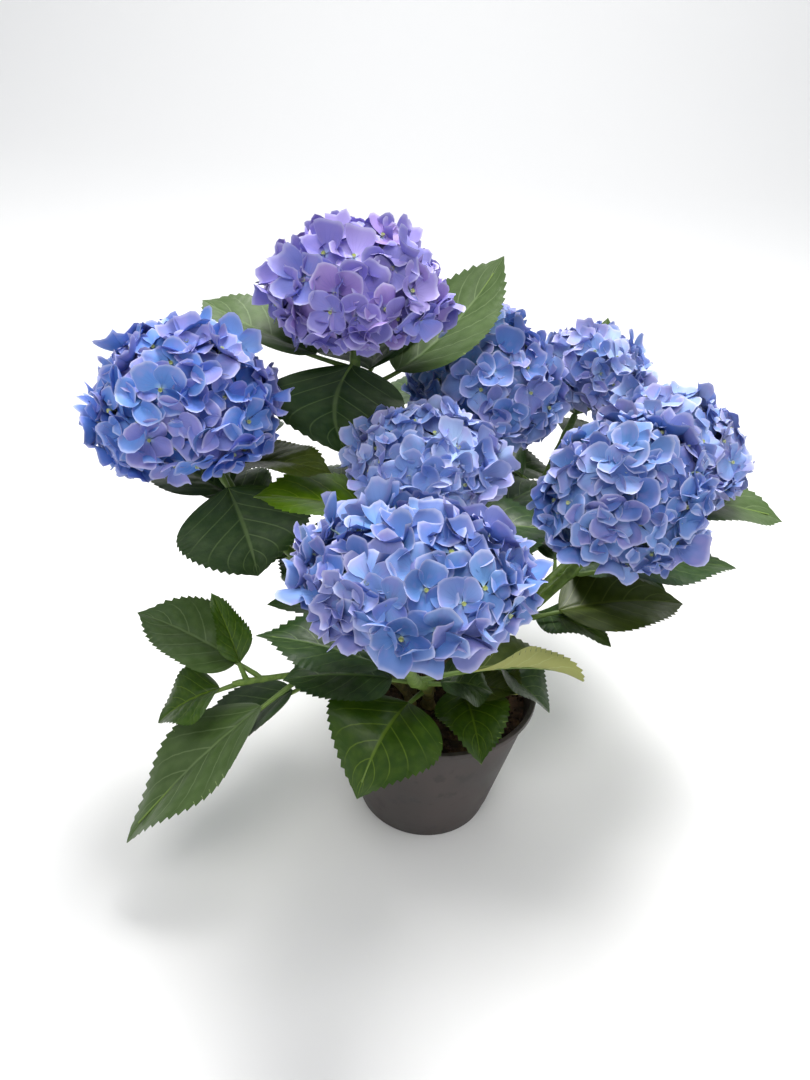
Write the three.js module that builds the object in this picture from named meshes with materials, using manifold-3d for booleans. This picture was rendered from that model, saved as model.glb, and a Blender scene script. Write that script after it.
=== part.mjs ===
// A potted mophead hydrangea in full flower, in millimetres, +Z up.
// The frame's origin is the middle of the pot's flat underside, and the plant's front faces -Y.
// The pot, the compost, every stem, every flower head and every leaf is a solid of its own.
import * as THREE from "three";
import { mergeVertices } from "three/addons/utils/BufferGeometryUtils.js";
import Module from "manifold-3d";

const wasm = await Module();
wasm.setup();

// ---- Driving dimensions ----
const GAP = 0.6; // clearance between neighbouring solids
const POT = {
  height: 108, rimRadius: 72, baseRadius: 48, wall: 1.6, floor: 2.4, lip: 2, lipHeight: 4,
  bevel: 2, lipBevel: 1, sides: 36,
};
const DRAIN = { count: 6, radius: 4, pitchRadius: 33, sides: 8 };
const COMPOST_TOP = 94;
const STEM = { baseRadius: 4.4, tipRadius: 2.8, sides: 6, steps: 8, upright: 0.3, follow: 0.45 };
const HEAD = { around: 14, rows: 9, crownShare: 0.68, bump: 0.05 };
const LEAF = { thickness: 4, stalk: 0.2, stalkWidth: 6, tipWidth: 3, belly: 0.75, across: 2, along: 6, fold: 0.16 };

const up = new THREE.Vector3(0, 0, 1);
const point = (x, y, z) => new THREE.Vector3(x, y, z);
const radians = THREE.MathUtils.degToRad;
const heading = (bearing) => point(Math.cos(radians(bearing)), Math.sin(radians(bearing)), 0);

// ---- Flower heads: centre, full width, depth from crown to underside, and the way the crown leans ----
// from is where the head's stem leaves the compost: the bearing from the middle, and how far out.
const heads = {
  front: { at: point(-22, -114, 268), width: 122, depth: 60, lean: 3, bearing: 90, from: [-100, 16] },
  middle: { at: point(-19, 5, 268), width: 105, depth: 62, lean: 0, bearing: -90, from: [180, 3] },
  purple: { at: point(-66, 52, 350), width: 122, depth: 76, lean: 0, bearing: -90, from: [145, 16] },
  left: { at: point(-157, 7, 290), width: 119, depth: 90, lean: 20, bearing: 225, from: [185, 17] },
  right_front: { at: point(97, -13, 265), width: 108, depth: 88, lean: 24, bearing: -80, from: [-35, 16] },
  right_back: { at: point(154, 91, 254), width: 114, depth: 68, lean: 20, bearing: -20, from: [5, 17] },
  back_middle: { at: point(20, 105, 279), width: 117, depth: 86, lean: 14, bearing: -80, from: [105, 14] },
  back_right: { at: point(107, 173, 270), width: 97, depth: 68, lean: 12, bearing: 0, from: [40, 18] },
  far_back: { at: point(19, 231, 266), width: 90, depth: 76, lean: 5, bearing: 100, from: [72, 22] },
};

// A leafy side shoot that carries no flowers: where it leaves the compost, and where its tip ends.
const shoot = { from: [-135, 22], tip: point(-122, -58, 144) };

// ---- Leaves: the stem each grows from, how far up it, and where the tip lies from there ----
// bearing and reach are level, rise is the tip's height above the root, arch bows the midrib, roll turns the blade,
// and stalk is the stalk's share of the length where it isn't the usual one.
const leaves = {
  purple_left: { stem: "purple", at: 0.95, bearing: 160, reach: 110, rise: 25, width: 76, arch: 10, roll: 0 },
  purple_right: { stem: "purple", at: 0.9, bearing: 40, reach: 115, rise: 75, width: 72, arch: -22, roll: 0 },
  purple_front: { stem: "purple", at: 0.98, bearing: -95, reach: 20, rise: -60, width: 96, arch: 14, roll: 0, stalk: 0.05 },
  left_below: { stem: "left", at: 0.98, bearing: -40, reach: 35, rise: -70, width: 84, arch: 26, roll: 30 },
  left_inner: { stem: "left", at: 0.95, bearing: -15, reach: 75, rise: 15, width: 50, arch: 12, roll: 0 },
  bright: { stem: "middle", at: 0.9, bearing: -170, reach: 100, rise: 25, width: 66, arch: 8, roll: 0 },
  front_left: { stem: "front", at: 0.62, bearing: 175, reach: 90, rise: 20, width: 52, arch: 12, roll: 0 },
  front_lower: { stem: "front", at: 0.4, bearing: -170, reach: 85, rise: 10, width: 60, arch: 12, roll: 0 },
  middle_left: { stem: "middle", at: 0.35, bearing: -160, reach: 105, rise: 50, width: 60, arch: 12, roll: 0 },
  shoot_top: { stem: "side_shoot", at: 0.93, bearing: 170, reach: 80, rise: 35, width: 64, arch: 10, roll: 0 },
  shoot_upright: { stem: "side_shoot", at: 0.98, bearing: 145, reach: 25, rise: 55, width: 24, arch: 6, roll: 0 },
  shoot_middle: { stem: "side_shoot", at: 0.98, bearing: -160, reach: 55, rise: -20, width: 46, arch: 12, roll: 0 },
  shoot_long: { stem: "side_shoot", at: 0.8, bearing: -145, reach: 125, rise: -80, width: 56, arch: 14, roll: 0 },
  shoot_inner: { stem: "side_shoot", at: 0.7, bearing: -165, reach: 100, rise: -60, width: 50, arch: 6, roll: 0 },
  pot_front: { stem: "front", at: 0.2, bearing: -120, reach: 80, rise: -25, width: 80, arch: 40, roll: 0 },
  pot_small: { stem: "right_front", at: 0.12, bearing: -80, reach: 75, rise: 5, width: 48, arch: 22, roll: 0 },
  pot_middle: { stem: "right_front", at: 0.1, bearing: -40, reach: 50, rise: 30, width: 52, arch: 14, roll: 0 },
  front_right: { stem: "front", at: 0.62, bearing: 25, reach: 120, rise: -30, width: 56, arch: 20, roll: 0 },
  front_right_low: { stem: "front", at: 0.45, bearing: 5, reach: 45, rise: -5, width: 46, arch: 10, roll: 0 },
  right_low: { stem: "right_front", at: 0.5, bearing: 10, reach: 115, rise: 10, width: 78, arch: 14, roll: 0 },
  right_middle: { stem: "right_front", at: 0.75, bearing: 5, reach: 110, rise: 10, width: 60, arch: 12, roll: 0 },
  right_far: { stem: "right_back", at: 0.85, bearing: -5, reach: 110, rise: 5, width: 76, arch: 14, roll: 0 },
  back_right_up: { stem: "back_right", at: 0.88, bearing: 70, reach: 120, rise: 65, width: 60, arch: -24, roll: 0 },
  inner_right: { stem: "middle", at: 0.55, bearing: 45, reach: 140, rise: 30, width: 60, arch: 12, roll: 0 },
  right_under: { stem: "right_front", at: 0.3, bearing: -30, reach: 55, rise: -15, width: 48, arch: 26, roll: 0 },
  purple_back: { stem: "purple", at: 0.9, bearing: 110, reach: 70, rise: 10, width: 80, arch: 20, roll: 0 },
  left_back: { stem: "left", at: 0.9, bearing: 100, reach: 90, rise: 10, width: 74, arch: 16, roll: 0 },
  left_outer: { stem: "left", at: 0.8, bearing: 150, reach: 85, rise: 5, width: 72, arch: 16, roll: 0 },
  middle_back: { stem: "middle", at: 0.7, bearing: 60, reach: 80, rise: 20, width: 70, arch: 16, roll: 0 },
  back_middle_left: { stem: "back_middle", at: 0.75, bearing: 150, reach: 90, rise: 15, width: 78, arch: 16, roll: 0 },
  back_middle_right: { stem: "back_middle", at: 0.6, bearing: 30, reach: 80, rise: 25, width: 70, arch: 16, roll: 0 },
  far_back_left: { stem: "far_back", at: 0.85, bearing: 160, reach: 95, rise: 5, width: 80, arch: 18, roll: 0 },
  far_back_right: { stem: "far_back", at: 0.8, bearing: 20, reach: 85, rise: 5, width: 74, arch: 18, roll: 0 },
  far_back_out: { stem: "far_back", at: 0.9, bearing: 95, reach: 85, rise: -20, width: 74, arch: 22, roll: 0 },
  back_right_out: { stem: "back_right", at: 0.8, bearing: 45, reach: 90, rise: -10, width: 76, arch: 20, roll: 0 },
  right_back_out: { stem: "right_back", at: 0.75, bearing: 60, reach: 90, rise: 0, width: 76, arch: 18, roll: 0 },
  low_back_left: { stem: "left", at: 0.3, bearing: 130, reach: 100, rise: 10, width: 78, arch: 22, roll: 0 },
  low_back: { stem: "far_back", at: 0.3, bearing: 150, reach: 90, rise: 0, width: 78, arch: 22, roll: 0 },
};

// ---- Materials ----
const finish = (color, roughness) => new THREE.MeshStandardMaterial({ color, roughness, metalness: 0 });
const materials = {
  pot: finish(0x6d6663, 0.6),
  compost: finish(0x2f2019, 0.95),
  stem: finish(0x6c8a35, 0.6),
  blue: finish(0x6f8fe0, 0.7),
  purple: finish(0x8d7fd6, 0.7),
  leaf: finish(0x2f5a22, 0.5),
};

// ---- Solids and cuts ----
function solidOf(geometry) {
  const bare = geometry.index ? geometry.toNonIndexed() : geometry.clone();
  for (const name of Object.keys(bare.attributes)) {
    if (name !== "position") bare.deleteAttribute(name);
  }
  const merged = mergeVertices(bare, 1e-3);
  const mesh = new wasm.Mesh({
    numProp: 3,
    vertProperties: merged.attributes.position.array,
    triVerts: new Uint32Array(merged.index.array),
  });
  return new wasm.Manifold(mesh);
}

function geometryOf(solid) {
  const { vertProperties, triVerts } = solid.getMesh();
  const geometry = new THREE.BufferGeometry();
  geometry.setAttribute("position", new THREE.BufferAttribute(new Float32Array(vertProperties), 3));
  geometry.setIndex(new THREE.BufferAttribute(new Uint32Array(triVerts), 1));
  return geometry;
}

const largestOf = (solid) => solid.decompose().sort((a, b) => b.volume() - a.volume())[0];
const overlap = (a, b) => a.min[0] < b.max[0] && b.min[0] < a.max[0]
  && a.min[1] < b.max[1] && b.min[1] < a.max[1] && a.min[2] < b.max[2] && b.min[2] < a.max[2];

const group = new THREE.Group();
const clearances = []; // each placed piece, grown by the gap, for later pieces to be cut by

function add(name, material, geometry) {
  const mesh = new THREE.Mesh(geometry, materials[material]);
  mesh.name = name;
  group.add(mesh);
}

// Adds a shape made by make(grow), cut back from every shape placed before it.
function place(name, material, make) {
  let solid = solidOf(make(0));
  const box = solid.boundingBox();
  for (const other of clearances) {
    if (overlap(box, other.boundingBox())) solid = solid.subtract(other);
  }
  add(name, material, geometryOf(largestOf(solid)));
  clearances.push(solidOf(make(GAP)));
}

// ---- Shapes ----
// A closed sweep: a box whose vertices (u across, v along, w through) are moved to surface(u, v, w).
function sweptSolid(across, along, surface) {
  const geometry = new THREE.BoxGeometry(2, 1, 2, across, along, 1);
  const places = geometry.attributes.position;
  for (let i = 0; i < places.count; i++) {
    const moved = surface(places.getX(i), places.getY(i) + 0.5, places.getZ(i));
    places.setXYZ(i, moved.x, moved.y, moved.z);
  }
  return geometry;
}

// A tapering round limb: a cylinder bent along a curve.
function limb(curve, radiusAt, sides, steps, grow) {
  const geometry = new THREE.CylinderGeometry(1, 1, 1, sides, steps);
  const places = geometry.attributes.position;
  for (let i = 0; i < places.count; i++) {
    const share = places.getY(i) + 0.5;
    const tangent = curve.getTangent(share);
    const side = point(tangent.z, 0, -tangent.x).normalize();
    const other = tangent.clone().cross(side);
    const radius = radiusAt(share) + grow;
    const spine = curve.getPoint(share).addScaledVector(tangent, share < 0.5 ? -grow : grow);
    spine.addScaledVector(side, places.getX(i) * radius).addScaledVector(other, -places.getZ(i) * radius);
    places.setXYZ(i, spine.x, spine.y, spine.z);
  }
  return geometry;
}

// A solid turned about +Z from a profile of [radius, height].
function turned(profile, sides) {
  const points = profile.map(([radius, z]) => new THREE.Vector2(radius, z));
  return solidOf(new THREE.LatheGeometry(points, sides).rotateX(Math.PI / 2));
}

function pot() {
  const { height, rimRadius, baseRadius, wall, floor, lip, lipHeight, bevel, lipBevel, sides } = POT;
  const bodyTop = rimRadius - lip;
  const slope = (bodyTop - baseRadius) / height;
  const profile = [
    [0, 0], [baseRadius - bevel, 0], [baseRadius, bevel],
    [bodyTop - slope * lipHeight, height - lipHeight], [rimRadius, height - lipHeight],
    [rimRadius, height - lipBevel], [rimRadius - lipBevel, height],
    [bodyTop - wall, height], [baseRadius - wall + slope * floor, floor], [0, floor],
  ];
  let body = turned(profile, sides);
  for (let i = 0; i < DRAIN.count; i++) {
    const hole = new THREE.CylinderGeometry(DRAIN.radius, DRAIN.radius, 4 * floor, DRAIN.sides).rotateX(Math.PI / 2);
    const turn = heading((360 * i) / DRAIN.count).multiplyScalar(DRAIN.pitchRadius);
    body = body.subtract(solidOf(hole.translate(turn.x, turn.y, 0)));
  }
  return geometryOf(body);
}

function compost() {
  const { height, rimRadius, baseRadius, wall, floor, lip, sides } = POT;
  const slope = (rimRadius - lip - baseRadius) / height;
  const wallAt = (z) => baseRadius - wall + slope * z - GAP;
  const bottom = floor + GAP;
  const profile = [[0, bottom], [wallAt(bottom), bottom], [wallAt(COMPOST_TOP), COMPOST_TOP], [0, COMPOST_TOP]];
  return geometryOf(turned(profile, sides));
}

// The way a head's crown points.
const crownOf = ({ lean, bearing }) => heading(bearing).multiplyScalar(Math.sin(radians(lean)))
  .addScaledVector(up, Math.cos(radians(lean)));

// A dome with a flatter underside, its surface uneven as the florets are.
function head(name, grow) {
  const spec = heads[name];
  const phase = Object.keys(heads).indexOf(name);
  const turn = new THREE.Quaternion().setFromUnitVectors(up, crownOf(spec));
  const geometry = new THREE.SphereGeometry(1, HEAD.around, HEAD.rows).rotateX(Math.PI / 2);
  const places = geometry.attributes.position;
  for (let i = 0; i < places.count; i++) {
    const ray = point(places.getX(i), places.getY(i), places.getZ(i));
    const around = Math.atan2(ray.y, ray.x);
    const flat = Math.hypot(ray.x, ray.y);
    const uneven = 1 + HEAD.bump * flat * (Math.sin(3 * around + phase) + Math.cos(2 * around - 2 * phase)) / 2;
    const tall = spec.depth * (ray.z > 0 ? HEAD.crownShare : 1 - HEAD.crownShare) + grow;
    const moved = point(ray.x * (spec.width / 2 + grow) * uneven, ray.y * (spec.width / 2 + grow) * uneven,
      ray.z * tall);
    moved.applyQuaternion(turn).add(spec.at);
    places.setXYZ(i, moved.x, moved.y, moved.z);
  }
  return geometry;
}

// The middle line of a stem: it leaves the compost upright and meets its head square to the underside.
function stemLine(name) {
  const spec = heads[name] ?? shoot;
  const [bearing, out] = spec.from;
  const start = heading(bearing).multiplyScalar(out).setZ(COMPOST_TOP + GAP);
  if (spec === shoot) return new THREE.QuadraticBezierCurve3(start, start.clone().setZ(shoot.tip.z), shoot.tip);
  const crown = crownOf(spec);
  const end = spec.at.clone().addScaledVector(crown, -spec.depth * (1 - HEAD.crownShare) - 2 * GAP);
  const rise = end.z - start.z;
  const upright = start.clone().addScaledVector(up, rise * STEM.upright);
  const follow = end.clone().addScaledVector(crown, -rise * STEM.follow);
  return new THREE.CubicBezierCurve3(start, upright, follow, end);
}

const stemRadius = (share) => STEM.baseRadius + (STEM.tipRadius - STEM.baseRadius) * share;

// Half the leaf's width at a share of its length: a stalk, then an egg-shaped blade that comes to a point.
function halfWidth(share, width, stalk) {
  const blade = Math.max(0, (share - stalk) / (1 - stalk));
  const oval = Math.sin(Math.PI * Math.pow(blade, LEAF.belly));
  return Math.max(LEAF.stalkWidth / 2 * (1 - blade) + LEAF.tipWidth / 2 * blade, (oval * width) / 2);
}

// The midrib: from the stem's middle to the tip, bowed square to the straight line between them.
function leafLine({ stem, at, bearing, reach, rise, arch }) {
  const root = stemLine(stem).getPoint(at);
  const chord = heading(bearing).multiplyScalar(reach).addScaledVector(up, rise);
  const square = chord.clone().normalize().cross(heading(bearing + 90));
  const middle = root.clone().addScaledVector(chord, 0.5).addScaledVector(square, arch);
  return new THREE.QuadraticBezierCurve3(root, middle, root.clone().add(chord));
}

function leaf(name, grow) {
  const spec = leaves[name];
  const line = leafLine(spec);
  const level = heading(spec.bearing + 90);
  return sweptSolid(LEAF.across, LEAF.along, (u, v, w) => {
    const tangent = line.getTangent(v);
    const side = level.clone().applyAxisAngle(tangent, radians(spec.roll));
    const face = tangent.clone().cross(side);
    const half = halfWidth(v, spec.width, spec.stalk ?? LEAF.stalk) + grow;
    const lift = LEAF.fold * Math.abs(u) * half + w * (LEAF.thickness / 2 + grow);
    return line.getPoint(v).addScaledVector(tangent, (v - 0.5) * 2 * grow)
      .addScaledVector(side, -u * half).addScaledVector(face, lift);
  });
}

// ---- The plant ----
add("pot", "pot", pot());
add("compost", "compost", compost());
for (const name of Object.keys(heads)) {
  place(`flower_head_${name}`, name === "purple" ? "purple" : "blue", (grow) => head(name, grow));
}
for (const name of [...Object.keys(heads), "side_shoot"]) {
  place(`stem_${name}`, "stem", (grow) => limb(stemLine(name), stemRadius, STEM.sides, STEM.steps, grow));
}
for (const name of Object.keys(leaves)) {
  place(`leaf_${name}`, "leaf", (grow) => leaf(name, grow));
}

export default group;
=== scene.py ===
"""Looks for a potted mophead hydrangea: florets, leaves, stems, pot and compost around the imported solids.

Each head, leaf and stem takes its place, size and lean from the solid that it replaces.
Sizes are in metres; MM turns millimetres into them.
"""

import math

import bmesh
import bpy
import numpy as np
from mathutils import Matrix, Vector

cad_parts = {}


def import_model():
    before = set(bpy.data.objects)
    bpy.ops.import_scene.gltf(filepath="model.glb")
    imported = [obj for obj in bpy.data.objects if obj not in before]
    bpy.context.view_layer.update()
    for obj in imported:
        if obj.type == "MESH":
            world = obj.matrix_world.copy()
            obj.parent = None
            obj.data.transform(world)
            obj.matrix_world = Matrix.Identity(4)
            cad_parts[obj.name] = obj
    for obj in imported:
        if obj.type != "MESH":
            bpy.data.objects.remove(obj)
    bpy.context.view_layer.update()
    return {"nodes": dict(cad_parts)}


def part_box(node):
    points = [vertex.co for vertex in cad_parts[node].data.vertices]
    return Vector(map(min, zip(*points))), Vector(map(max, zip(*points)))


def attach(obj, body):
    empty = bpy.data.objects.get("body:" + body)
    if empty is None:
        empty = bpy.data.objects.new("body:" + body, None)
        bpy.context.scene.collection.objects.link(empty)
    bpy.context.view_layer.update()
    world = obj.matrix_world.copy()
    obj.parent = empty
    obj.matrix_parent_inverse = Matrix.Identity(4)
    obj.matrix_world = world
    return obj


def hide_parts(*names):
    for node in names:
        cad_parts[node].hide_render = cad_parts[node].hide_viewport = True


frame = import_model()

MM = 0.001
UP = np.array([0.0, 0.0, 1.0])
SEEDS = {"grown": 20, "leaves": 31, "florets": 20, "heads": 200}  # each head adds its place in HEADS
random = np.random.default_rng(SEEDS["grown"])
bpy.context.scene.view_settings.view_transform = "Standard"

# ---- The plant's plan: which stem carries each leaf, and the leaf's colour ----
LEAVES = {
    "purple": {"purple_left": "pale", "purple_right": "pale", "purple_front": "deep", "purple_back": "deep"},
    "left": {
        "left_below": "deep", "left_inner": "olive", "left_back": "deep", "left_outer": "deep",
        "low_back_left": "deep",
    },
    "middle": {"bright": "bright", "middle_left": "deep", "inner_right": "deep", "middle_back": "deep"},
    "front": {
        "front_left": "deep", "front_lower": "deep", "pot_front": "fresh", "front_right": "olive",
        "front_right_low": "deep",
    },
    "right_front": {
        "pot_small": "fresh", "pot_middle": "olive", "right_low": "olive", "right_middle": "deep",
        "right_under": "deep",
    },
    "right_back": {"right_far": "pale", "right_back_out": "deep"},
    "back_right": {"back_right_up": "fresh", "back_right_out": "deep"},
    "back_middle": {"back_middle_left": "deep", "back_middle_right": "deep"},
    "far_back": {
        "far_back_left": "deep", "far_back_right": "deep", "far_back_out": "fresh", "low_back": "deep",
    },
    "side_shoot": {
        "shoot_top": "pale", "shoot_upright": "fresh", "shoot_middle": "fresh", "shoot_long": "pale",
        "shoot_inner": "deep",
    },
}
STALK_SHARE = 0.2  # of a leaf's length
USUAL_FOLD = 0.16  # how far a blade rises for each metre out from its midrib
SHORT_STALKS = {"purple_front": 0.05}
CURLED = {"front_right": (-1, 2.5)}  # the side of the blade that rolls up, and how far, in radians

# The small leaves that fill out the stems behind the front ones. A tip stays behind front, and
# above low where it is further left than left. A blade stays gap or more from stems and other leaves.
GROWN = {
    "stems": ["purple", "back_middle", "far_back", "back_right", "right_back", "left", "middle"],
    "shares": (0.34, 0.52, 0.7),
    "length": (64 * MM, 96 * MM),
    "front": -10 * MM,
    "left": -90 * MM,
    "low": 140 * MM,
    "gap": 9 * MM,
    "tries": 40,
}

# Each head's florets: how many, and the family of colours that they are dealt from.
HEADS = {
    "front": (118, "blue"),
    "middle": (96, "lilac"),
    "purple": (124, "purple"),
    "left": (130, "azure"),
    "right_front": (118, "blue"),
    "right_back": (104, "lilac"),
    "back_middle": (118, "blue"),
    "back_right": (88, "lilac"),
    "far_back": (80, "lilac"),
}


# ---- Meshes made of grids ----
class Shape:
    """Points, four-cornered faces and a place on the colour map for each point."""

    def __init__(self, points, faces, places):
        self.points, self.faces, self.places = points, faces, places

    def moved(self, axes, origin, scale=1.0):
        """The same shape with its own x, y and z along the rows of axes."""
        return Shape(self.points * scale @ axes + origin, self.faces, self.places)

    def dyed(self, column, columns):
        """The same shape with its colours in one upright strip of the map."""
        places = self.places.copy()
        places[:, 0] = (column + places[:, 0]) / columns
        return Shape(self.points, self.faces, places)


def joined(shapes):
    """Several shapes as one."""
    starts = np.cumsum([0] + [len(shape.points) for shape in shapes[:-1]])
    return Shape(
        np.concatenate([shape.points for shape in shapes]),
        np.concatenate([shape.faces + start for shape, start in zip(shapes, starts)]),
        np.concatenate([shape.places for shape in shapes]),
    )


def grid(rows, columns, surface):
    """A sheet of faces whose points are surface(along, across), both from 0 to 1, as arrays."""
    along, across = np.meshgrid(np.linspace(0, 1, rows), np.linspace(0, 1, columns), indexing="ij")
    points, places = surface(along.ravel(), across.ravel())
    corner = (np.arange(rows - 1)[:, None] * columns + np.arange(columns - 1)).reshape(-1, 1)
    return Shape(points, corner + np.array([0, 1, columns + 1, columns]), places)


def flipped(shape):
    """The same shape with its faces turned over."""
    return Shape(shape.points, shape.faces[:, ::-1], shape.places)


def unit(vectors):
    """The same directions, one metre long."""
    return vectors / np.maximum(np.linalg.norm(vectors, axis=-1, keepdims=True), 1e-9)


def tube(line, radius, rows, sides, start=0.0, end=1.0):
    """A round tube along line(share), its radius given by radius(share, angle)."""

    def surface(along, across):
        share = start + (end - start) * along
        angle = 2 * math.pi * across
        ahead = unit(line(share + 0.01) - line(share - 0.01))
        side = unit(np.cross(ahead, np.where(np.abs(ahead[:, 2:]) > 0.9, [[1.0, 0, 0]], [[0, 0, 1.0]])))
        other = np.cross(ahead, side)
        spread = np.cos(angle)[:, None] * side + np.sin(angle)[:, None] * other
        return line(share) + spread * radius(share, angle)[:, None], np.stack([across, along], axis=1)

    return grid(rows, sides + 1, surface)


def piece(name, shape, material, nodes=()):
    """A smooth mesh of the shape, riding on the plant's one body."""
    mesh = bpy.data.meshes.new(name)
    mesh.from_pydata(shape.points.tolist(), [], shape.faces.tolist())
    places = mesh.uv_layers.new(name="OFBake")
    places.data.foreach_set("uv", shape.places[shape.faces.ravel()].astype(np.float32).ravel())
    mesh.polygons.foreach_set("use_smooth", np.ones(len(mesh.polygons), bool))
    mesh.materials.append(material)
    made = bpy.data.objects.new(name, mesh)
    return settle(made, nodes)


def settle(made, nodes=()):
    """Puts a finished object in the scene, on the plant's body, in place of the named solids."""
    if made.name not in bpy.context.scene.collection.objects:
        bpy.context.scene.collection.objects.link(made)
    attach(made, "root")
    if nodes:
        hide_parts(*nodes)
    return made


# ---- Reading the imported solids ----
def solid_points(node):
    """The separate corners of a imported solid."""
    mesh = frame["nodes"][node].data
    points = np.empty(3 * len(mesh.vertices), np.float32)
    mesh.vertices.foreach_get("co", points)
    return np.unique(np.round(points.reshape(-1, 3).astype(float), 5), axis=0)


class Line:
    """A smooth line through the middle of a long solid, from its base to its tip."""

    def __init__(self, points, base, tip, bends):
        self.base, self.chord = base, tip - base
        share = self.share(points)
        self.bow = np.polyfit(share, points - base - share[:, None] * self.chord, bends)

    def share(self, points):
        return (points - self.base) @ self.chord / (self.chord @ self.chord)

    def __call__(self, share):
        share = np.atleast_1d(share)
        bow = sum(c * (share ** (len(self.bow) - 1 - i))[:, None] for i, c in enumerate(self.bow))
        return self.base + share[:, None] * self.chord + bow


def stem_line(name):
    """The middle line of a packed stem."""
    points = solid_points(f"stem_{name}")
    base = points[points[:, 2] < points[:, 2].min() + MM].mean(axis=0)
    away = np.linalg.norm(points - base, axis=1)
    return Line(points, base, points[away > away.max() - 6 * MM].mean(axis=0), 4)


class Pad:
    """Where a leaf lies: its base and tip, how it faces, its bow and drift, its fold and its width."""

    def __init__(self, root, base, tip, side, width):
        self.root, self.base, self.tip, self.width = root, base, tip, width
        self.length = np.linalg.norm(tip - base)
        self.ahead = (tip - base) / self.length
        self.side = side
        self.face = np.cross(self.ahead, side)
        self.drift, self.bow, self.fold = np.zeros(3), np.zeros(3), USUAL_FOLD
        self.stalk, self.curl = STALK_SHARE, (0, 1.0)

    def fit(self, points):
        """Takes the width, the sideways drift, the bow and the fold from a solid's points."""
        share = (points - self.base) @ self.ahead / self.length
        drift = np.polyfit(share, (points - self.base) @ self.side, 2)
        across = (points - self.base) @ self.side - np.polyval(drift, share)
        terms = np.stack([share**2, share, np.ones_like(share), np.abs(across)], axis=1)
        *bow, fold = np.linalg.lstsq(terms, (points - self.base) @ self.face, rcond=None)[0]
        turn = 1 if fold > 0 else -1
        self.side, self.face = self.side * turn, self.face * turn
        self.drift, self.bow, self.fold = turn * drift, turn * np.array(bow), abs(fold)
        self.width = np.ptp(across)

    def at(self, share, across, lift):
        """The point a share along the leaf, across it and off its face, in metres."""
        across = across + np.polyval(self.drift, share)
        lift = lift + np.polyval(self.bow, share)
        ahead = (share * self.length)[:, None] * self.ahead
        return self.base + ahead + across[:, None] * self.side + lift[:, None] * self.face


def solid_pad(name, stem):
    """The pad of a packed leaf on its stem."""
    points = solid_points(f"leaf_{name}")
    stations = stem(np.linspace(0, 1, 80))
    gaps = np.linalg.norm(points[:, None] - stations[None], axis=2).min(axis=1)
    base = points[gaps < gaps.min() + 2 * MM].mean(axis=0)
    root = stations[np.argmin(np.linalg.norm(stations - base, axis=1))]
    away = np.linalg.norm(points - base, axis=1)
    tip = points[away > away.max() - 2 * MM].mean(axis=0)
    rest = points - base
    rest = rest - np.outer(rest @ unit(tip - base), unit(tip - base))
    side = unit(np.linalg.svd(rest - rest.mean(axis=0), full_matrices=False)[2][0])
    pad = Pad(root, base, tip, side, 0.0)
    pad.fit(points)
    pad.stalk, pad.curl = SHORT_STALKS.get(name, STALK_SHARE), CURLED.get(name, pad.curl)
    return pad


def blade_spots(pad):
    """Spots spread over a leaf's blade."""
    share, side = np.meshgrid(np.linspace(0.25, 1, 7), [-0.45, -0.22, 0, 0.22, 0.45])
    share, side = share.ravel(), side.ravel()
    return pad.at(share, side * pad.width * np.sin(math.pi * share**0.75), 0 * share)


HEAD_BOXES = [np.array(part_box(f"flower_head_{name}")) for name in HEADS]


def in_a_head(spots):
    """Whether any spot lies in a packed head, taken as the oval that fills its box."""
    outs = [np.linalg.norm((2 * spots - low - high) / (high - low), axis=1) for low, high in HEAD_BOXES]
    return min(out.min() for out in outs) < 1


def has_room(pad, taken):
    """Whether a leaf lies behind the front ones and keeps clear of the heads and of the spots taken."""
    spots = blade_spots(pad)
    low_left = pad.tip[0] < GROWN["left"] and pad.tip[2] < GROWN["low"]
    if pad.tip[1] < GROWN["front"] or low_left or in_a_head(spots):
        return False
    gaps = np.linalg.norm(spots[:, None] - np.concatenate(taken)[None], axis=2)
    return gaps.min() > GROWN["gap"]


def grown_pad(root, bearing):
    """A small leaf that reaches out from a stem, level or rising."""
    angle = bearing + random.normal(0, 0.5)
    level = np.array([math.cos(angle), math.sin(angle), 0.0])
    length = random.uniform(*GROWN["length"])
    tip = root + level * length + UP * length * random.uniform(-0.15, 0.45)
    side = unit(np.cross(UP, level))
    pad = Pad(root, root + level * 2 * MM, tip, side, length * random.uniform(0.56, 0.7))
    pad.bow = np.array([-4, 4, 0]) * length * random.uniform(0.08, 0.2)
    return pad


def grown_pads(line, taken):
    """Pairs of leaves up a stem, each pair square to the last, where one of its tries finds room."""
    grown = []
    bearing = random.uniform(0, math.pi)
    for share in GROWN["shares"]:
        for turn in (0, math.pi):
            tries = (grown_pad(line(share)[0], bearing + turn) for _ in range(GROWN["tries"]))
            pad = next((pad for pad in tries if has_room(pad, taken)), None)
            if pad is not None:
                grown.append(pad)
                taken.append(blade_spots(pad))
        bearing += math.pi / 2
    return grown


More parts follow.
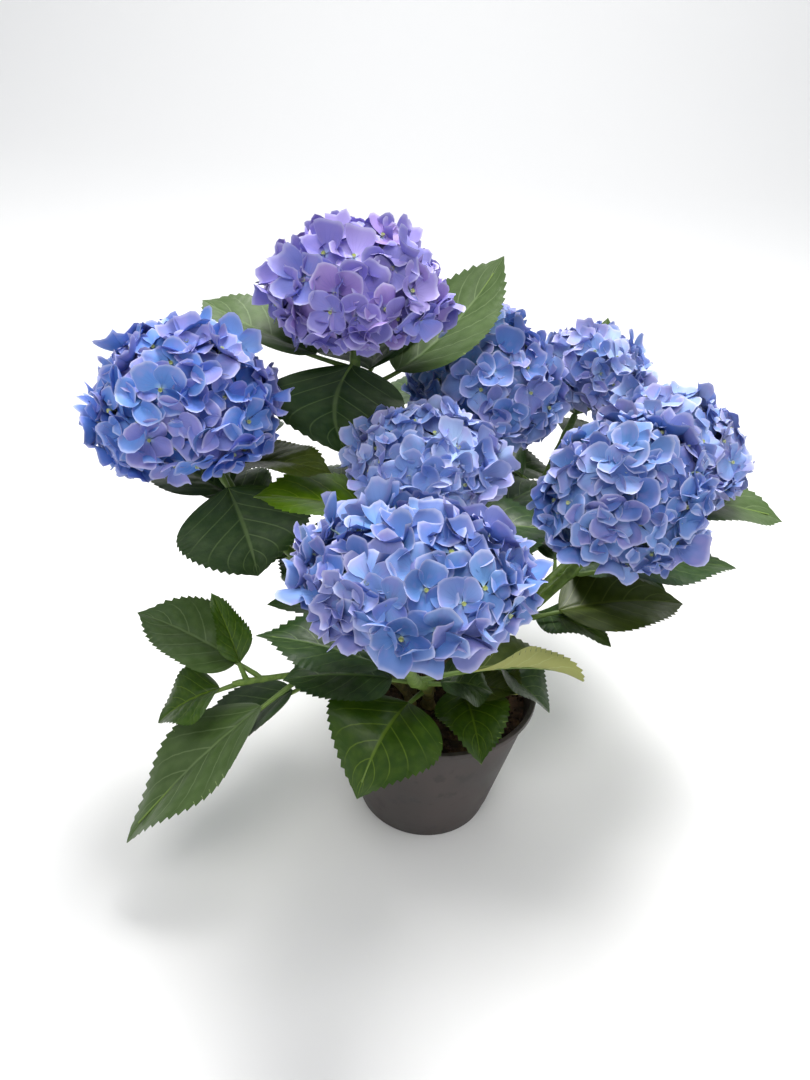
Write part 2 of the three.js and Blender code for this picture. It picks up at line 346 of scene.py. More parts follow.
# ---- Material nodes ----
class Nodes:
    """A material's node tree, with short names for the few kinds of node used here."""

    def __init__(self, name):
        self.material = bpy.data.materials.new(name)
        self.material.use_nodes = True
        self.tree = self.material.node_tree
        self.shader = self.tree.nodes["Principled BSDF"]

    def put(self, value, socket):
        if isinstance(value, bpy.types.NodeSocket):
            self.tree.links.new(value, socket)
        else:
            socket.default_value = value

    def node(self, kind, **settings):
        made = self.tree.nodes.new(kind)
        for key, value in settings.items():
            setattr(made, key, value)
        return made

    def maths(self, operation, *values):
        made = self.node("ShaderNodeMath", operation=operation)
        for value, socket in zip(values, made.inputs):
            self.put(value, socket)
        return made.outputs[0]

    def step(self, value, low, high, to_low=0.0, to_high=1.0):
        """A smooth step from to_low to to_high as the value goes from low to high."""
        made = self.node("ShaderNodeMapRange", interpolation_type="SMOOTHSTEP")
        for amount, socket in zip((value, low, high, to_low, to_high), made.inputs):
            self.put(amount, socket)
        return made.outputs[0]

    def mix(self, factor, first, second):
        made = self.node("ShaderNodeMix", data_type="RGBA")
        self.put(factor, made.inputs[0])
        self.put(first, made.inputs[6])
        self.put(second, made.inputs[7])
        return made.outputs[2]

    def noise(self, vector, scale, detail=3.0):
        made = self.node("ShaderNodeTexNoise")
        self.put(vector, made.inputs["Vector"])
        made.inputs["Scale"].default_value = scale
        made.inputs["Detail"].default_value = detail
        return made.outputs[0]

    def strips(self, value, colours):
        """The colour of the strip that the value, from 0 to 1, falls in."""
        ramp = self.node("ShaderNodeValToRGB")
        ramp.color_ramp.interpolation = "CONSTANT"
        stops = ramp.color_ramp.elements
        while len(stops) < len(colours):
            stops.new(1.0)
        for i, shade in enumerate(colours):
            stops[i].position = i / len(colours)
            stops[i].color = shade
        self.put(value, ramp.inputs[0])
        return ramp.outputs[0]

    def place(self):
        """Across and along on the piece's own map."""
        coordinates = self.node("ShaderNodeUVMap", uv_map="OFBake")
        parts = self.node("ShaderNodeSeparateXYZ")
        self.put(coordinates.outputs[0], parts.inputs[0])
        return parts.outputs[0], parts.outputs[1]

    def flat(self, x, y):
        """A point of a flat pattern, from its two parts."""
        made = self.node("ShaderNodeCombineXYZ")
        self.put(x, made.inputs[0])
        self.put(y, made.inputs[1])
        return made.outputs[0]

    def spot(self):
        """Where a point is on the object."""
        return self.node("ShaderNodeTexCoord").outputs["Object"]

    def finish(self, colour, roughness, bump=None, strength=0.3, depth=MM):
        self.put(colour, self.shader.inputs["Base Color"])
        self.put(roughness, self.shader.inputs["Roughness"])
        if bump is not None:
            made = self.node("ShaderNodeBump")
            made.inputs["Strength"].default_value = strength
            made.inputs["Distance"].default_value = depth
            self.put(bump, made.inputs["Height"])
            self.put(made.outputs[0], self.shader.inputs["Normal"])
        return self.material


def colour(red, green, blue):
    """A colour for a shader from the usual 0 to 255 numbers."""
    return tuple((part / 255) ** 2.2 for part in (red, green, blue)) + (1.0,)


# ---- Florets ----
TINTS = 8
STRIPS = TINTS + 2  # the last two strips are the buds and the stalks
BUD_STRIP, STALK_STRIP = TINTS, TINTS + 1
FAMILIES = {
    "blue": [
        (90, 134, 198), (108, 148, 208), (80, 120, 190), (116, 146, 204), (102, 126, 192), (126, 160, 216),
        (94, 138, 196), (122, 136, 196),
    ],
    "azure": [
        (84, 134, 216), (98, 150, 222), (78, 122, 206), (114, 158, 224), (104, 130, 208), (122, 138, 208),
        (92, 140, 214), (128, 134, 204),
    ],
    "lilac": [
        (128, 160, 218), (144, 172, 224), (118, 152, 212), (150, 170, 218), (138, 154, 208), (160, 186, 228),
        (132, 164, 214), (150, 160, 208),
    ],
    "purple": [
        (140, 138, 212), (156, 146, 218), (130, 124, 204), (164, 152, 220), (154, 130, 202), (134, 144, 222),
        (146, 138, 212), (160, 138, 204),
    ],
}
# pale sepal rim: partly the sepals' own paler edge, partly painted highlight where edges catch the light
RIM_AND_HIGHLIGHT_COLOUR = colour(226, 226, 248)
THROAT_COLOUR = colour(176, 208, 236)
VEIN_COLOUR = colour(74, 84, 172)
BLUSH_COLOUR = colour(164, 146, 206)
BUD_COLOUR = (214, 222, 160)
FLORET_STALK_COLOUR = (150, 172, 150)
FLORET = {"sepals": 4, "reach": 15 * MM, "half_angle": 53, "bud": 1.3 * MM}
FLORET_KINDS = 24  # different florets to deal from

# A head's outer and inner layer: the share of its florets, how deep they sit in the solid, their
# size, and how far down from the crown they go, as the cosine of the angle.
LAYERS = [
    {"share": 1.0, "depth": 11 * MM, "size": 1.0, "lowest": -0.7},
    {"share": 0.45, "depth": 24 * MM, "size": 0.9, "lowest": -0.4},
]
HUB_RISE = 4 * MM  # from the stem's tip to where the floret stalks part
LEAN = 0.19  # how unevenly the florets face


def floret_material(family):
    nodes = Nodes(f"florets_{family}")
    across, along = nodes.place()
    strip = nodes.maths("MULTIPLY", across, STRIPS)
    side = nodes.maths("ABSOLUTE", nodes.maths("MULTIPLY_ADD", nodes.maths("FRACT", strip), 2.0, -1.0))
    tints = [colour(*tint) for tint in FAMILIES[family]]
    base = nodes.strips(across, tints + [colour(*BUD_COLOUR), colour(*FLORET_STALK_COLOUR)])
    sepal = nodes.maths("LESS_THAN", strip, float(TINTS))
    wave = nodes.maths("ABSOLUTE", nodes.maths("SINE", nodes.maths("MULTIPLY", side, math.pi * 4)))
    vein = nodes.step(wave, 0.0, 0.5, 0.42, 0.0)
    vein = nodes.maths("MULTIPLY", vein, nodes.step(along, 0.3, 0.95, 1.0, 0.0))
    shade = nodes.mix(nodes.maths("MULTIPLY", vein, sepal), base, nodes.mix(0.5, base, VEIN_COLOUR))
    patches = nodes.noise(nodes.flat(nodes.maths("MULTIPLY", strip, 1.3), along), 1.7, 2.0)
    blush = nodes.step(patches, 0.48, 0.7, 0.0, 0.3)
    blush = nodes.maths("ADD", blush, nodes.step(along, 0.4, 1.0, 0.0, 0.2))
    blush = nodes.maths("MULTIPLY", blush, sepal)
    shade = nodes.mix(blush, shade, BLUSH_COLOUR)
    # paler along each sepal's tip and sides: partly its own paler edge, partly painted highlight
    rim = nodes.maths("MAXIMUM", nodes.step(along, 0.86, 1.0), nodes.step(side, 0.88, 1.0))
    rim = nodes.maths("MULTIPLY", nodes.maths("MULTIPLY", rim, sepal), 0.5)
    shade = nodes.mix(rim, shade, RIM_AND_HIGHLIGHT_COLOUR)
    throat = nodes.maths("MULTIPLY", nodes.step(along, 0.26, 0.04, 0.0, 0.55), sepal)
    return nodes.finish(nodes.mix(throat, shade, THROAT_COLOUR), 0.62)


def sepal(turn, cupped):
    """One broad sepal: a fan with a narrow foot and a rounded, waved rim, one edge over its neighbour."""
    reach = FLORET["reach"] * random.uniform(0.88, 1.1)
    half_angle = math.radians(FLORET["half_angle"]) * random.uniform(0.92, 1.08)
    cup, curl = cupped + random.uniform(-0.12, 0.16), random.uniform(-0.3, 0.1)
    fold, lap = random.uniform(-0.06, 0.18), random.uniform(0.05, 0.14)
    ruffle, waves, phase = random.uniform(0.05, 0.13), random.uniform(3.5, 7.0), random.uniform(0, 6)
    middle = turn + random.uniform(-0.12, 0.12)

    def surface(along, across):
        share, side = 0.04 + 0.96 * along, 2 * across - 1
        spread = (0.4 + 0.6 * np.minimum(1, share / 0.55) ** 0.8) * (1 - 0.16 * share**6)
        angle = middle + half_angle * side * spread
        wave = np.sin(waves * side + phase)
        out = reach * share * (1 - 0.24 * np.abs(side) ** 2.6) * (1 + 0.05 * wave * share**3)
        out = out * (1 + 0.05 * (1 - np.abs(side)) ** 3 * share**4)
        lift = cup * share**2 + curl * share**4 + fold * np.abs(side) * share
        lift = lift + lap * side * share + ruffle * wave * share**3
        places = np.stack([0.5 + 0.47 * side, 0.02 + 0.96 * along], axis=1)
        return np.stack([out * np.cos(angle), out * np.sin(angle), reach * lift], axis=1), places

    return grid(7, 9, surface)


def bud():
    """The bud at a floret's middle, as a small round cup that is open at the top."""

    def surface(along, across):
        angle = 2 * math.pi * across
        rise = math.pi * (0.02 + 0.62 * along)
        flat = FLORET["bud"] * np.sin(rise)
        points = [flat * np.cos(angle), flat * np.sin(angle), FLORET["bud"] * (0.9 - np.cos(rise + 0.5))]
        return np.stack(points, axis=1), np.stack([0.1 + 0.8 * across, along], axis=1)

    return grid(4, 8, surface)


def floret():
    """One floret facing +Z, as its sepals and its bud."""
    cupped = random.uniform(0.1, 0.5)
    sepals = [sepal(2 * math.pi * i / FLORET["sepals"], cupped) for i in range(FLORET["sepals"])]
    return sepals, bud()


def even_spots(node, count):
    """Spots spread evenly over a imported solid's surface, and which way the surface faces at each."""
    mesh = frame["nodes"][node].data
    corners = np.array([[mesh.vertices[i].co for i in face.vertices[:3]] for face in mesh.polygons])
    normals = np.cross(corners[:, 1] - corners[:, 0], corners[:, 2] - corners[:, 0])
    areas = np.linalg.norm(normals, axis=1)
    chosen = random.choice(len(corners), 12 * count, p=areas / areas.sum())
    shares = random.dirichlet((1, 1, 1), len(chosen))
    spots = (corners[chosen] * shares[:, :, None]).sum(axis=1)
    kept = [0]
    gaps = np.linalg.norm(spots - spots[0], axis=1)
    while len(kept) < count:
        kept.append(int(np.argmax(gaps)))
        gaps = np.minimum(gaps, np.linalg.norm(spots - spots[kept[-1]], axis=1))
    return spots[kept], unit(normals[chosen[kept]])


def axes_facing(normal, spin):
    """Rows for a shape's x, y and z, with z along the normal."""
    side = unit(np.cross(normal, [0.3, 0.9, 0.2]))
    other = np.cross(normal, side)
    across = math.cos(spin) * side + math.sin(spin) * other
    return np.stack([across, np.cross(normal, across), normal])


def head_florets(name, count, kinds, stem):
    """A head's florets over its solid and a sparser layer inside, with a stalk to each."""
    node = f"flower_head_{name}"
    middle = np.mean(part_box(node), axis=0)
    top = stem(1.0)[0]
    crown = unit(middle - top)
    hub = top + crown * HUB_RISE
    florets, stalks = [], []
    for layer in LAYERS:
        for spot, normal in zip(*even_spots(node, int(count * layer["share"]))):
            outward = unit(spot - middle)
            if outward @ crown < layer["lowest"]:
                continue
            facing = unit(0.6 * normal + 0.4 * outward + random.normal(0, LEAN, 3))
            at = spot - normal * (layer["depth"] + random.uniform(-2, 5) * MM)
            axes = axes_facing(facing, random.uniform(0, 2 * math.pi))
            scale = layer["size"] * random.uniform(0.85, 1.12)
            sepals, middle_bud = kinds[random.integers(len(kinds))]
            tint = random.integers(TINTS)
            florets += [part.moved(axes, at, scale).dyed(tint, STRIPS) for part in sepals]
            florets.append(middle_bud.moved(axes, at, scale).dyed(BUD_STRIP, STRIPS))
            stalks.append(floret_stalk(hub, crown, at, facing).dyed(STALK_STRIP, STRIPS))
    return joined(florets), stalks


def floret_stalk(hub, crown, at, facing):
    """A thin stalk that leaves the hub with the crown and meets the floret from behind."""
    reach = np.linalg.norm(at - hub)
    bend = at - facing * reach * 0.3

    def line(share):
        share = np.atleast_1d(share)[:, None]
        mid = hub + crown * reach * 0.25 + (bend - hub) * 0.35
        return (1 - share) ** 2 * hub + 2 * share * (1 - share) * mid + share**2 * at

    return tube(line, lambda share, angle: 0.9 * MM - 0.35 * MM * share, 6, 4)


# ---- Leaves ----
VEINS = 6  # pairs of side veins
VEIN_SWEEP = (0.34, 0.04)  # how far along the blade a side vein is, by its distance out and that squared
TEETH = 20  # to each side
BLADE = {"tooth": 1.8 * MM, "quilt": 2.2 * MM, "groove": 1.1 * MM, "thickness": 0.6 * MM, "columns": 15}
LEAF_TINTS = {  # the top, its veins, and the underside
    "deep": ((42, 66, 30), (102, 126, 72), (88, 108, 58)),
    "olive": ((66, 80, 26), (118, 130, 66), (150, 154, 88)),
    "fresh": ((48, 76, 6), (112, 138, 44), (110, 134, 56)),
    # bright: partly the leaf's own yellow-green, partly painted glow of light shining through it from behind
    "bright": ((86, 124, 0), (150, 176, 60), (120, 150, 50)),
    "pale": ((72, 94, 50), (120, 140, 96), (126, 144, 94)),
}


def vein_phase(along, side):
    """How far between two side veins a point lies, from 0 on a vein to 0.5 midway."""
    count = VEINS * (along - VEIN_SWEEP[0] * side - VEIN_SWEEP[1] * side**2)
    return np.abs(count - np.round(count))


def leaf_material(tint):
    top, vein_colour, under = (colour(*shade) for shade in LEAF_TINTS[tint])
    nodes = Nodes(f"leaves_{tint}")
    across, along = nodes.place()
    half = nodes.maths("MULTIPLY", across, 2.0)
    is_under = nodes.maths("GREATER_THAN", half, 1.0)
    side = nodes.maths("ABSOLUTE", nodes.maths("MULTIPLY_ADD", nodes.maths("FRACT", half), 2.0, -1.0))
    bend = nodes.maths("MULTIPLY", side, nodes.maths("MULTIPLY_ADD", side, -VEIN_SWEEP[1], -VEIN_SWEEP[0]))
    count = nodes.maths("MULTIPLY", nodes.maths("ADD", along, bend), float(VEINS))
    phase = nodes.maths("PINGPONG", count, 0.5)
    vein = nodes.step(phase, 0.012, 0.06, 0.85, 0.0)
    vein = nodes.maths("MULTIPLY", vein, nodes.step(side, 0.5, 0.95, 1.0, 0.1))
    midrib = nodes.step(side, 0.012, 0.045, 1.0, 0.0)
    ribs = nodes.maths("MAXIMUM", vein, midrib)
    mottle = nodes.noise(nodes.flat(half, along), 9.0)
    upper_face = nodes.mix(nodes.step(mottle, 0.35, 0.7, 0.0, 0.5), top, nodes.mix(0.35, top, vein_colour))
    # painted shade: the upper face darkens towards each side vein, in the creases of the quilted blade
    upper_face = nodes.mix(nodes.step(phase, 0.1, 0.5, 0.3, 0.0), upper_face, nodes.mix(0.4, top, (0.01, 0.02, 0.005, 1.0)))
    upper_face = nodes.mix(nodes.maths("MULTIPLY", ribs, 0.6), upper_face, vein_colour)
    under_rib = nodes.mix(0.5, under, colour(200, 210, 150))
    under_face = nodes.mix(nodes.maths("MULTIPLY", ribs, 0.5), under, under_rib)
    roughness = nodes.mix(is_under, (0.4, 0.4, 0.4, 1), (0.68, 0.68, 0.68, 1))
    fine = nodes.noise(nodes.flat(half, along), 60.0)
    nodes.put(0.35, nodes.shader.inputs["Specular IOR Level"])
    return nodes.finish(nodes.mix(is_under, upper_face, under_face), roughness, fine, 0.25, 0.4 * MM)


def blade(pad):
    """A leaf's toothed blade, quilted between its veins, as an upper and a lower skin."""
    rows, columns = 3 * TEETH + 1, BLADE["columns"]
    sway, phase = random.uniform(1.4, 3.2) * MM, random.uniform(0, 2 * math.pi)
    droop, twist = random.uniform(0.0, 0.05), random.uniform(-0.05, 0.05)
    half_width = pad.width / 2 * 0.97
    tooth = BLADE["tooth"] * min(1.0, pad.length / 0.1)

    def skin(under):
        def surface(along, across):
            even = 2 * across - 1
            side = np.sign(even) * np.abs(even) ** 1.4
            edge = np.abs(side)
            oval = np.sin(math.pi * along**0.75) ** 0.9 * (1 - 0.18 * along**4)
            step = along * TEETH % 1.0
            saw = np.where(step < 0.7, step / 0.7, (1 - step) / 0.3)
            saw = saw * np.clip(4 * along - 0.5, 0, 1) * np.clip(8 * (0.96 - along), 0, 1)
            wide = half_width * oval + tooth * saw * edge**8
            share = pad.stalk + (1 - pad.stalk) * along + tooth / pad.length * saw * edge**8
            quilt = BLADE["quilt"] * (vein_phase(along, edge) * 2) ** 0.7 * edge**0.4 * (1 - edge**3)
            groove = -BLADE["groove"] * np.exp(-((edge / 0.06) ** 2)) * (1 - along)
            lift = pad.fold * wide * edge + quilt * oval + groove
            swung = sway * edge**2 * np.minimum(1, 3 * oval)
            lift = lift + swung * np.sin(9 * along + phase + 1.5 * np.sign(side))
            lift = lift - droop * pad.length * along**3 + twist * wide * side * along
            if under:
                lift = lift - BLADE["thickness"] * (1 - edge**6)
            places = np.stack([0.25 + 0.24 * side + 0.5 * under, 0.01 + 0.98 * along], axis=1)
            rolls = np.sign(side) == pad.curl[0]
            turn = pad.curl[1] * edge * np.sin(math.pi * along) ** 0.7 * rolls + 1e-6
            out = wide * edge * np.sin(turn) / turn - lift * np.sin(turn)
            lift = wide * edge * (1 - np.cos(turn)) / turn + lift * np.cos(turn)
            return pad.at(share, np.sign(side) * out, lift), places

        return grid(rows, columns, surface)

    return joined([skin(0), flipped(skin(1))])


def leaf_stalk(pad):
    """The stalk from the stem to the blade, and the rib that it becomes under the blade."""

    def line(share):
        share = np.atleast_1d(share)
        lift = -0.9 * MM - 1.3 * MM * np.clip(share / 0.25, 0, 1)
        along = pad.at(share, 0 * share, lift)
        pull = np.clip(1 - share / 0.04, 0, 1)[:, None]
        return along * (1 - pull) + pad.root * pull

    def radius(share, angle):
        return 2.0 * MM - 1.5 * MM * np.clip(share, 0, 1) ** 0.6

    return tube(line, radius, 22, 7, 0.0, 0.9)


# ---- Stems ----
FLOWER_STEM_RADII = (4.0 * MM, 2.7 * MM)
STEM_RADII = {"side_shoot": (2.8 * MM, 1.7 * MM)}


def stem_material():
    nodes = Nodes("stems")
    along = nodes.place()[1]
    spot = nodes.spot()
    grain = nodes.noise(spot, 260.0, 4.0)
    green = nodes.mix(nodes.step(grain, 0.4, 0.65), colour(78, 104, 34), colour(98, 124, 48))
    woody = nodes.mix(nodes.step(grain, 0.4, 0.65), colour(92, 84, 48), colour(128, 112, 70))
    shade = nodes.mix(nodes.step(along, 0.04, 0.45), woody, green)
    specks = nodes.step(nodes.noise(spot, 900.0, 1.0), 0.66, 0.72)
    shade = nodes.mix(nodes.maths("MULTIPLY", specks, 0.5), shade, colour(84, 60, 44))
    return nodes.finish(shade, 0.55, grain, 0.3, 0.3 * MM)


def stalk_material():
    nodes = Nodes("leaf_stalks")
    across, along = nodes.place()
    streak = nodes.noise(nodes.flat(across, along), 8.0)
    shade = nodes.mix(nodes.step(streak, 0.35, 0.65), colour(96, 122, 52), colour(116, 140, 66))
    return nodes.finish(nodes.mix(nodes.step(along, 0.3, 0.0), shade, colour(84, 110, 40)), 0.5)


def stem_shape(line, joints, base_radius, tip_radius):
    """A stem with a swollen ring at each leaf joint, low ridges, and a foot that meets the compost."""

    def radius(share, angle):
        taper = base_radius + (tip_radius - base_radius) * share
        swell = sum((np.exp(-(((share - joint) / 0.018) ** 2)) for joint in joints), 0 * share)
        ridges = 1 + 0.05 * np.sin(6 * angle) + 0.03 * np.sin(23 * share + 2 * angle)
        foot = 1 + 0.5 * np.exp(-((share / 0.03) ** 2))
        return taper * ridges * (1 + 0.22 * np.minimum(swell, 1)) * foot

    return tube(line, radius, 90, 16, -0.01, 1.03)


# ---- Pot and compost ----
POT = {"foot_share": 48 / 72, "wall": 1.6 * MM, "floor": 2.4 * MM, "lip": 2 * MM, "lip_height": 4 * MM}
POT_SEGMENTS = 160
DRAIN = {"holes": 6, "radius": 4 * MM, "pitch": 33 * MM}


def pot_material():
    nodes = Nodes("pot")
    spot = nodes.spot()
    dust = nodes.noise(spot, 22.0, 5.0)
    grain = nodes.noise(spot, 900.0, 2.0)
    shade = nodes.mix(nodes.step(dust, 0.35, 0.7), colour(57, 51, 49), colour(73, 65, 63))
    scuffs = nodes.step(nodes.noise(spot, 75.0, 4.0), 0.55, 0.68, 0.0, 0.45)
    shade = nodes.mix(scuffs, shade, colour(42, 38, 38))
    parts = nodes.node("ShaderNodeSeparateXYZ")
    nodes.put(spot, parts.inputs[0])
    low_down = nodes.step(parts.outputs[2], 30 * MM, 0.0)
    splash = nodes.maths("MULTIPLY", low_down, nodes.step(dust, 0.45, 0.6))
    shade = nodes.mix(nodes.maths("MULTIPLY", splash, 0.4), shade, colour(70, 60, 54))
    roughness = nodes.step(dust, 0.3, 0.7, 0.5, 0.68)
    return nodes.finish(shade, roughness, grain, 0.2, 0.2 * MM)


def pot():
    """The pot as one turned wall with a rolled lip, a foot ring and a floor, pierced by the drain holes."""
    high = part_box("pot")[1]
    rim, height = high.x, high.z
    base, wall, floor_top = rim * POT["foot_share"], POT["wall"], POT["floor"]
    body_top = rim - POT["lip"]
    slope = (body_top - base) / height
    lip_low = height - POT["lip_height"]
    step, line = 12 * MM, 0.3 * MM  # the foot ring's height, and the small step above it
    profile = [
        (0.001 * MM, 0), (base - 3 * MM, 0), (base - 1 * MM, 0.3 * MM), (base, 1.4 * MM),
        (base + slope * step, step), (base + slope * (step + 0.6 * MM) + line, step + 0.6 * MM),
        (base + slope * lip_low * 0.8 + line, lip_low * 0.8),
        (base + slope * lip_low + 0.1 * MM, lip_low - 0.6 * MM),
        (rim - 0.7 * MM, lip_low), (rim, lip_low + 0.7 * MM),
        (rim, height - 0.9 * MM), (rim - 0.4 * MM, height - 0.2 * MM), (rim - 1 * MM, height),
        (body_top - wall + 0.6 * MM, height), (body_top - wall, height - 0.7 * MM),
        (base - wall + slope * floor_top, floor_top), (0.001 * MM, floor_top),
    ]
    mesh = bmesh.new()
    corners = [mesh.verts.new((x, 0, z)) for x, z in profile]
    edges = [mesh.edges.new(pair) for pair in zip(corners, corners[1:])]
    bmesh.ops.spin(
        mesh, geom=corners + edges, cent=(0, 0, 0), axis=(0, 0, 1), angle=2 * math.pi,
        steps=POT_SEGMENTS, use_merge=True,
    )
    bmesh.ops.remove_doubles(mesh, verts=mesh.verts, dist=0.01 * MM)
    bmesh.ops.recalc_face_normals(mesh, faces=mesh.faces)
    data = bpy.data.meshes.new("pot_wall")
    mesh.to_mesh(data)
    mesh.free()
    made = bpy.data.objects.new("pot_wall", data)
    bpy.context.scene.collection.objects.link(made)
    made.data.materials.append(pot_material())
    drill = bpy.data.objects.new("drill", drain_drill())
    bpy.context.scene.collection.objects.link(drill)
    cut = made.modifiers.new("drain", "BOOLEAN")
    cut.object, cut.solver = drill, "EXACT"
    depsgraph = bpy.context.evaluated_depsgraph_get()
    made.data = bpy.data.meshes.new_from_object(made.evaluated_get(depsgraph))
    made.modifiers.clear()
    bpy.data.objects.remove(drill)
    made.data.shade_smooth()
    made.data.set_sharp_from_angle(angle=math.radians(40))
    return settle(made, ["pot"])


def drain_drill():
    """The rods that pierce the pot's floor."""
    mesh = bmesh.new()
    for i in range(DRAIN["holes"]):
        rod = bmesh.ops.create_cone(
            mesh, cap_ends=True, segments=24, radius1=DRAIN["radius"], radius2=DRAIN["radius"], depth=20 * MM
        )
        angle = 2 * math.pi * i / DRAIN["holes"]
        place = Vector((math.cos(angle), math.sin(angle), 0)) * DRAIN["pitch"]
        bmesh.ops.translate(mesh, verts=rod["verts"], vec=place)
    data = bpy.data.meshes.new("drill")
    mesh.to_mesh(data)
    mesh.free()
    return data


def compost_material(name):
    nodes = Nodes(name)
    spot = nodes.spot()
    lumps = nodes.noise(spot, 160.0, 5.0)
    shade = nodes.mix(nodes.step(lumps, 0.35, 0.7), colour(38, 26, 20), colour(84, 60, 46))
    return nodes.finish(shade, 0.95, lumps, 0.8, 1.5 * MM)


LUMPS = 700  # loose crumbs on the compost


def crumb():
    """The compost's uneven top and the loose lumps on it."""
    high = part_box("compost")[1]
    reach, top = high.x - 0.6 * MM, high.z

    def surface(along, across):
        out, angle = reach * along, 2 * math.pi * across
        x, y = out * np.cos(angle), out * np.sin(angle)
        swell = np.sin(x * 230) * np.cos(y * 190 + 1)
        swell = swell + 0.6 * np.sin(x * 520 + y * 410) + 0.4 * np.cos(y * 900)
        rise = (0.9 * MM + 0.5 * MM * swell) * (1 - along**6) + 2 * MM * (1 - along**2) + 0.2 * MM
        return np.stack([x, y, top + rise], axis=1), np.stack([across, along], axis=1)

    lumps = [lump(reach, top) for _ in range(LUMPS)]
    return joined([grid(40, 97, surface)] + lumps)


def lump(reach, top):
    """One loose crumb, near a ball but uneven, with a pinhole at its top and its foot."""
    out, angle = reach * math.sqrt(random.uniform(0, 0.94)), random.uniform(0, 2 * math.pi)
    size = random.uniform(0.8, 2.4) * MM
    stretch = random.uniform(0.6, 1.3, 3)
    phase = random.uniform(0, 6, 3)
    rise = 2.4 * MM * (1 - (out / reach) ** 2)

    def surface(along, across):
        turn, tilt = 2 * math.pi * across, math.pi * (0.02 + 0.96 * along)
        ball = np.stack([np.sin(tilt) * np.cos(turn), np.sin(tilt) * np.sin(turn), -np.cos(tilt)], axis=1)
        uneven = 1 + 0.16 * np.sin(3 * ball @ stretch + phase[0])
        at = np.array([out * math.cos(angle), out * math.sin(angle), top + rise + 0.5 * size])
        return ball * size * stretch * uneven[:, None] + at, np.stack([across, along], axis=1)

    return grid(5, 7, surface)


# ---- The plant ----
stems = {name: stem_line(name) for name in LEAVES}
pads = {leaf: solid_pad(leaf, stems[stem]) for stem, group in LEAVES.items() for leaf in group}
taken = [blade_spots(pad) for pad in pads.values()]
taken += [line(np.linspace(0, 1, 60)) for line in stems.values()]
grown = [pad for name in GROWN["stems"] for pad in grown_pads(stems[name], taken)]

random = np.random.default_rng(SEEDS["leaves"])
stem_shapes = []
for name, line in stems.items():
    joints = [line.share(pads[leaf].root) for leaf in LEAVES[name]]
    stem_shapes.append(stem_shape(line, joints, *STEM_RADII.get(name, FLOWER_STEM_RADII)))
stem_look = stem_material()
piece("stems", joined(stem_shapes), stem_look, [f"stem_{name}" for name in stems])

for tint in LEAF_TINTS:
    names = [leaf for group in LEAVES.values() for leaf, shade in group.items() if shade == tint]
    look = leaf_material(tint)
    shape = joined([blade(pads[leaf]) for leaf in names])
    piece(f"leaves_{tint}", shape, look, [f"leaf_{leaf}" for leaf in names])
    if tint == "deep":
        piece("leaves_grown", joined([blade(pad) for pad in grown]), look)
leaf_stalks = [leaf_stalk(pad) for pad in [*pads.values(), *grown]]
piece("leaf_stalks", joined(leaf_stalks), stalk_material())

random = np.random.default_rng(SEEDS["florets"])
kinds = [floret() for _ in range(FLORET_KINDS)]
floret_looks = {family: floret_material(family) for family in FAMILIES}
stalks = []
for number, (name, (count, family)) in enumerate(HEADS.items()):
    random = np.random.default_rng(SEEDS["heads"] + number)
    florets, head_stalks = head_florets(name, count, kinds, stems[name])
    piece(f"florets_{name}", florets, floret_looks[family], [f"flower_head_{name}"])
    stalks += head_stalks
piece("floret_stalks", joined(stalks), floret_looks["blue"])

pot()
frame["nodes"]["compost"].data.materials[0] = compost_material("compost_plug")
piece("compost_crumb", crumb(), compost_material("compost_top"))


# ---- Floor, light and camera ----
FLOOR = {"half": 8.0, "front": -4.0, "bend": 3.0, "radius": 2.0, "top": 6.0, "steps": 16}


def floor():
    """A level floor that curves up into a backdrop far behind the plant."""
    bend, radius = FLOOR["bend"], FLOOR["radius"]
    turns = [math.pi / 2 * i / FLOOR["steps"] for i in range(FLOOR["steps"] + 1)]
    curve = [(bend + radius * math.sin(turn), radius * (1 - math.cos(turn))) for turn in turns]
    profile = np.array([(FLOOR["front"], 0.0), *curve, (bend + radius, FLOOR["top"])])

    def surface(along, across):
        line = profile[np.round(along * (len(profile) - 1)).astype(int)]
        points = np.stack([FLOOR["half"] * (2 * across - 1), line[:, 0], line[:, 1]], axis=1)
        return points, np.stack([across, along], axis=1)

    shape = flipped(grid(len(profile), 2, surface))
    mesh = bpy.data.meshes.new("floor")
    mesh.from_pydata(shape.points.tolist(), [], shape.faces.tolist())
    mesh.polygons.foreach_set("use_smooth", np.ones(len(mesh.polygons), bool))
    nodes = Nodes("floor")
    mesh.materials.append(nodes.finish((0.9, 0.9, 0.9, 1.0), 0.9))
    made = bpy.data.objects.new("floor", mesh)
    bpy.context.scene.collection.objects.link(made)


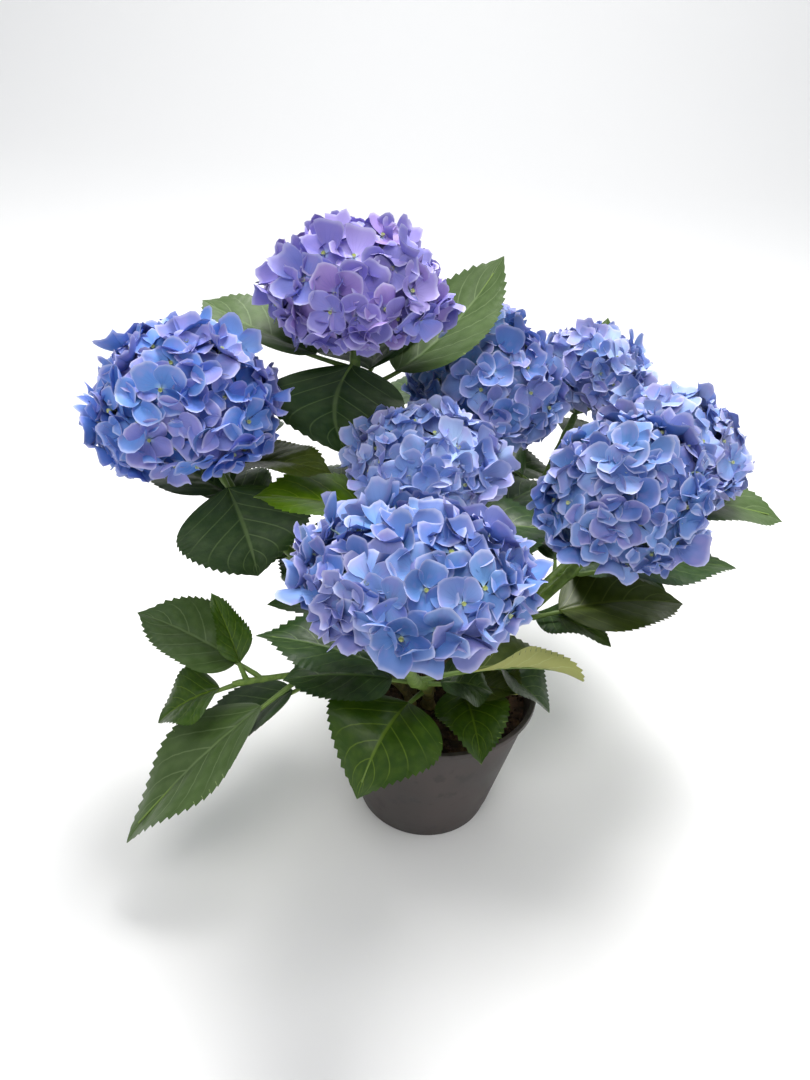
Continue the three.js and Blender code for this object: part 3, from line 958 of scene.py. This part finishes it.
DAYLIGHT = 0.45
PLANT_MIDDLE = (0, 0.05, 0.2)
LAMPS = {  # where each lamp is, where it points, its watts, its width and its colour
    "window": ((-0.3, -1.1, 2.0), PLANT_MIDDLE, 16.0, 0.9, (1.0, 0.98, 0.95)),
    "skylight": ((0.15, 0.45, 1.7), PLANT_MIDDLE, 26.0, 0.7, (1.0, 0.99, 0.97)),
    "fill": ((1.2, -0.6, 1.0), (0, 0, 0.2), 2.0, 1.5, (0.95, 0.97, 1.0)),
    "backdrop": ((0, 2.4, 4.5), (0, 4.6, 0.5), 110.0, 2.5, (1.0, 1.0, 1.0)),
}


def world():
    """Even, faintly cool light from all round."""
    made = bpy.data.worlds.new("daylight")
    bpy.context.scene.world = made
    made.use_nodes = True
    background = made.node_tree.nodes["Background"]
    background.inputs["Color"].default_value = (0.95, 0.97, 1.0, 1.0)
    background.inputs["Strength"].default_value = DAYLIGHT


def lamp(name, place, target, power, size, tint):
    """A square lamp of the given watts and width, turned to its target."""
    data = bpy.data.lights.new(name, "AREA")
    data.energy, data.size, data.color = power, size, tint
    made = bpy.data.objects.new(name, data)
    made.location = place
    made.rotation_euler = (Vector(target) - Vector(place)).to_track_quat("-Z", "Y").to_euler()
    bpy.context.scene.collection.objects.link(made)


CAMERA = {"place": (-0.027, -0.423, 0.485), "pitch": 32.1, "roll": 4.2, "lens": 26.67, "sensor": 36.0}


def camera():
    """The camera, looking down by its pitch and leaning by its roll, in degrees."""
    data = bpy.data.cameras.new("camera")
    data.lens, data.sensor_fit = CAMERA["lens"], "VERTICAL"
    data.sensor_width = data.sensor_height = CAMERA["sensor"]
    data.clip_start = 0.01
    made = bpy.data.objects.new("camera", data)
    bpy.context.scene.collection.objects.link(made)
    pitch, roll = math.radians(CAMERA["pitch"]), math.radians(CAMERA["roll"])
    ahead = Vector((0, math.cos(pitch), -math.sin(pitch)))
    right = Vector((1, 0, 0))
    above = right.cross(ahead)
    tilted_right = math.cos(roll) * right + math.sin(roll) * above
    tilted_up = math.cos(roll) * above - math.sin(roll) * right
    turn = made.matrix_world.to_3x3()
    for column, axis in enumerate((tilted_right, tilted_up, -ahead)):
        for row in range(3):
            turn[row][column] = axis[row]
    made.matrix_world = turn.to_4x4()
    made.location = CAMERA["place"]
    bpy.context.scene.camera = made


floor()
world()
for name, settings in LAMPS.items():
    lamp(name, *settings)
camera()
